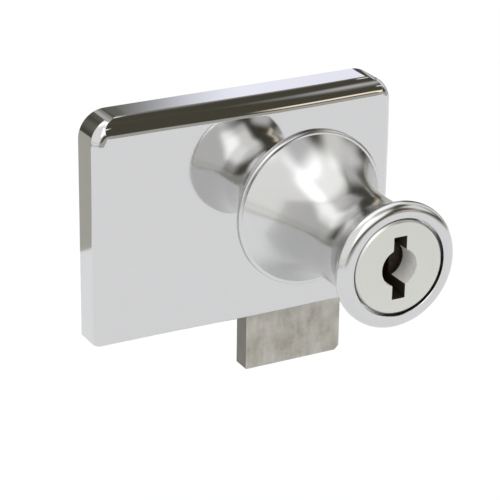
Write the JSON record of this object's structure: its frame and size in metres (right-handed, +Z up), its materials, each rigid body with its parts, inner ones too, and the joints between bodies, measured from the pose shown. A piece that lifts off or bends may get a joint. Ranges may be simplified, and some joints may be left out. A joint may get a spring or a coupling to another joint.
{
  "type": "glass cabinet door lock",
  "caption": "Clamp-on lock for a hinged glass cabinet door: polished housing with a trumpet-shaped pull knob, a keyed plug in the knob and a flat bolt that drops below the housing.",
  "frame": {"origin": "on the plug axis, at the plane where the front pad meets the glass", "axes": "+Z up, -Y towards the person who turns the key, +X to that person's right; the bolt drops along -Z"},
  "size_m": [0.05, 0.0489, 0.0456],
  "materials": {
    "polished_chrome": "mirror polished chrome plate on a zinc casting",
    "satin_nickel": "satin nickel plate",
    "bolt_metal": "dull nickel plate, mottled",
    "zinc_casting": "plain zinc casting",
    "zinc_plate": "zinc plated steel",
    "wafer_brass": "stamped brass",
    "spring_steel": "bright spring wire",
    "black_steel": "blackened steel",
    "pad_rubber": "matt dark rubber"
  },
  "bodies": {
    "lock_case": {"housing": "polished_chrome", "knob": "polished_chrome", "knob_screws": "zinc_plate", "cam_washer": "wafer_brass", "clamp_frame": "zinc_casting", "frame_screws": "zinc_plate", "front_pad": "pad_rubber"},
    "lock_plug": {"plug": "satin_nickel", "raising_springs": "spring_steel", "lowering_springs": "spring_steel", "cam": "zinc_plate", "cam_screw": "zinc_plate", "drive_pin": "zinc_plate"},
    "raising_wafers": {"wafer_1": "wafer_brass", "wafer_3": "wafer_brass", "wafer_5": "wafer_brass"},
    "lowering_wafers": {"wafer_2": "wafer_brass", "wafer_4": "wafer_brass", "wafer_6": "wafer_brass"},
    "lock_bolt": {"bolt": "bolt_metal"},
    "clamp_plate": {"pressure_plate": "zinc_plate", "rear_pad": "pad_rubber"},
    "left_screw": {"left_set_screw": "black_steel"},
    "right_screw": {"right_set_screw": "black_steel"}
  },
  "joints": [
    {"name": "plug_turn", "type": "hinge", "parent": "lock_case", "child": "lock_plug", "pos_m": [0, -0.0084, 0], "axis": [0, 1, 0], "range_deg": [0, 90]},
    {"name": "bolt_slide", "type": "slide", "parent": "lock_case", "child": "lock_bolt", "axis": [0, 0, 1], "range_m": [0, 0.0102]},
    {"name": "wafer_raise", "type": "slide", "parent": "lock_plug", "child": "raising_wafers", "axis": [0, 0, 1], "range_m": [0, 0.0006], "deforming": ["raising_springs"]},
    {"name": "wafer_lower", "type": "slide", "parent": "lock_plug", "child": "lowering_wafers", "axis": [0, 0, -1], "range_m": [0, 0.0006], "deforming": ["lowering_springs"]},
    {"name": "clamp_slide", "type": "slide", "parent": "lock_case", "child": "clamp_plate", "axis": [0, 1, 0], "range_m": [-0.002, 0.002]},
    {"name": "left_screw_turn", "type": "hinge", "parent": "clamp_plate", "child": "left_screw", "pos_m": [-0.01213, 0.0085, 0], "axis": [0, 1, 0], "range_deg": [-901, 901]},
    {"name": "right_screw_turn", "type": "hinge", "parent": "clamp_plate", "child": "right_screw", "pos_m": [0.00187, 0.0085, 0], "axis": [0, 1, 0], "range_deg": [-901, 901]}
  ],
  "couplings": [
    {"joint": "bolt_slide", "follows": "plug_turn", "m_per_rad": 0.00649},
    {"joint": "wafer_lower", "follows": "wafer_raise", "ratio": 1},
    {"joint": "left_screw_turn", "follows": "clamp_slide", "rad_per_m": 7854},
    {"joint": "right_screw_turn", "follows": "clamp_slide", "rad_per_m": 7854}
  ]
}
